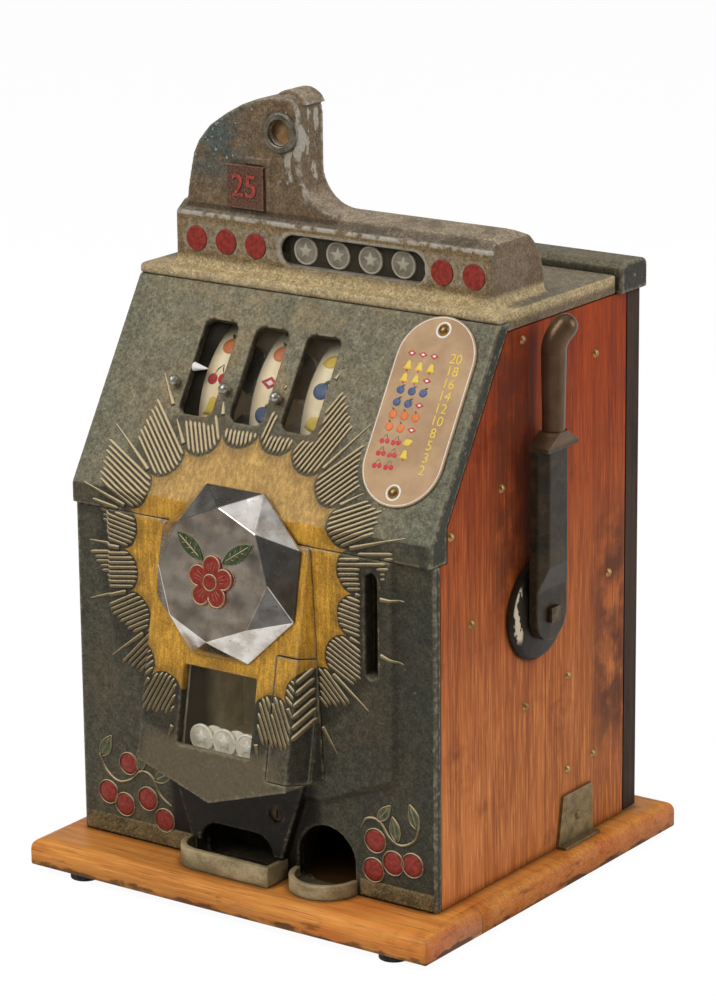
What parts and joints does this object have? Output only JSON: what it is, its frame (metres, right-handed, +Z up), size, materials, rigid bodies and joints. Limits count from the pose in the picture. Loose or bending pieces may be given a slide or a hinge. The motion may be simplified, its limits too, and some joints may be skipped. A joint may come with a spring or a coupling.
{
  "type": "slot machine",
  "caption": "Table-top reel slot machine with a wooden cabinet, cast front, coin head on top, side pull handle, payout cup and hinged back door.",
  "frame": {"origin": "centre of the base on the surface that the feet stand on", "axes": "+Z up, -Y towards the player, +X towards the handle"},
  "size_m": [0.4258, 0.3913, 0.674],
  "materials": {
    "side_wood": "red-brown varnished oak, worn",
    "base_wood": "orange varnished oak with dark wear on its edges",
    "door_wood": "dark stained wood",
    "foot_rubber": "matte",
    "cast_paint": "speckled dark olive paint worn to bare metal on edges",
    "gold_paint": "old gold paint, worn",
    "bronze_paint": "stippled bronze-gold paint, worn and chipped",
    "chrome": "polished, faceted",
    "red_enamel": "worn enamel",
    "green_enamel": "worn enamel",
    "nickel": "dull nickel",
    "steel": "plain machined steel",
    "dark_iron": "dark bronze-grey casting, handled",
    "brass": "aged",
    "clear_glass": "clear",
    "amber_lens": "brown translucent disc",
    "award_card": "printed card under lacquer",
    "tag_paint": "dark red-brown plate",
    "reel_paper": "aged cream paper strip"
  },
  "bodies": {
    "cabinet": {"base_board": "base_wood", "base_front_batten": "base_wood", "base_feet": "foot_rubber", "left_side_panel": "side_wood", "right_side_panel": "side_wood", "round_head_screws": "brass", "corner_clips": "brass", "rear_cap": "cast_paint", "lower_front_casting": "cast_paint", "jackpot_front": "cast_paint", "access_cover": "gold_paint", "jackpot_glass": "clear_glass", "jackpot_bin": "steel", "jackpot_coins": "nickel", "coin_tube": "brass", "emblem": "chrome", "emblem_rosette": "red_enamel", "emblem_leaves": "green_enamel", "payout_cup": "cast_paint", "return_cup": "cast_paint", "reel_window_casting": "cast_paint", "reel_glass": "clear_glass", "payline_studs": "nickel", "award_plate": "award_card", "top_casting": "bronze_paint", "coin_bezel": "nickel", "coin_lens": "amber_lens", "denomination_plate": "tag_paint", "escalator_studs": "red_enamel", "escalator_glass": "clear_glass", "mechanism_base": "steel", "mechanism_frame": "steel", "reel_shaft": "steel", "stop_lever_shaft": "steel", "slide_guide": "dark_iron", "cash_box": "steel", "payout_chute": "steel", "handle_escutcheon": "dark_iron", "return_spring": "steel", "cabinet_hinge_leaves": "dark_iron", "hinge_pins": "steel"},
    "handle": {"handle_arm": "dark_iron", "handle_grip": "dark_iron", "handle_bolt": "brass", "handle_shaft": "steel"},
    "left_reel": {"reel_1": "reel_paper"},
    "middle_reel": {"reel_2": "reel_paper"},
    "right_reel": {"reel_3": "reel_paper"},
    "left_stop": {"stop_lever_1": "steel"},
    "middle_stop": {"stop_lever_2": "steel"},
    "right_stop": {"stop_lever_3": "steel"},
    "clock": {"clock_wheel": "brass"},
    "governor": {"governor_fan": "brass"},
    "slides": {"payout_slides": "steel"},
    "jackpot_plug": {"jackpot_lock": "brass"},
    "escalator": {"escalator_carrier": "dark_iron", "escalator_coins": "nickel"},
    "door": {"back_door": "door_wood", "door_hinge_leaves": "dark_iron"},
    "door_plug": {"door_lock": "brass"}
  },
  "joints": [
    {"name": "handle_pull", "type": "hinge", "parent": "cabinet", "child": "handle", "pos_m": [0.18, 0, 0.255], "axis": [1, 0, 0], "range_deg": [0, 80], "stiffness_Nm_per_rad": 3, "springref_deg": -17.19},
    {"name": "left_reel_spin", "type": "hinge", "parent": "cabinet", "child": "left_reel", "pos_m": [-0.083, 0.00136, 0.38885], "axis": [1, 0, 0], "continuous": true},
    {"name": "middle_reel_spin", "type": "hinge", "parent": "cabinet", "child": "middle_reel", "pos_m": [-0.03, 0.00136, 0.38885], "axis": [1, 0, 0], "continuous": true},
    {"name": "right_reel_spin", "type": "hinge", "parent": "cabinet", "child": "right_reel", "pos_m": [0.023, 0.00136, 0.38885], "axis": [1, 0, 0], "continuous": true},
    {"name": "left_stop_swing", "type": "hinge", "parent": "cabinet", "child": "left_stop", "pos_m": [-0.066, 0.11936, 0.29785], "axis": [-1, 0, 0], "range_deg": [0, 15]},
    {"name": "middle_stop_swing", "type": "hinge", "parent": "cabinet", "child": "middle_stop", "pos_m": [-0.013, 0.11936, 0.29785], "axis": [-1, 0, 0], "range_deg": [0, 15]},
    {"name": "right_stop_swing", "type": "hinge", "parent": "cabinet", "child": "right_stop", "pos_m": [0.04, 0.11936, 0.29785], "axis": [-1, 0, 0], "range_deg": [0, 15]},
    {"name": "clock_wheel_spin", "type": "hinge", "parent": "cabinet", "child": "clock", "pos_m": [0.063, 0.04637, 0.248], "axis": [1, 0, 0], "continuous": true},
    {"name": "governor_spin", "type": "hinge", "parent": "cabinet", "child": "governor", "pos_m": [0.063, 0.04637, 0.2855], "axis": [1, 0, 0], "continuous": true},
    {"name": "payout_slide", "type": "slide", "parent": "cabinet", "child": "slides", "axis": [0, 1, 0], "range_m": [0, 0.028]},
    {"name": "jackpot_lock_turn", "type": "hinge", "parent": "cabinet", "child": "jackpot_plug", "pos_m": [0.03, -0.146, 0.091], "axis": [0, 1, 0], "range_deg": [0, 90]},
    {"name": "escalator_advance", "type": "slide", "parent": "cabinet", "child": "escalator", "axis": [1, 0, 0], "range_m": [0, 0.033]},
    {"name": "door_open", "type": "hinge", "parent": "cabinet", "child": "door", "pos_m": [-0.1874, 0.1435, 0.26], "axis": [0, 0, 1], "range_deg": [0, 105]},
    {"name": "door_lock_turn", "type": "hinge", "parent": "door", "child": "door_plug", "pos_m": [0.144, 0.154, 0.327], "axis": [0, 1, 0], "range_deg": [0, 90]}
  ],
  "couplings": [
    {"joint": "governor_spin", "follows": "clock_wheel_spin", "ratio": -4}
  ]
}
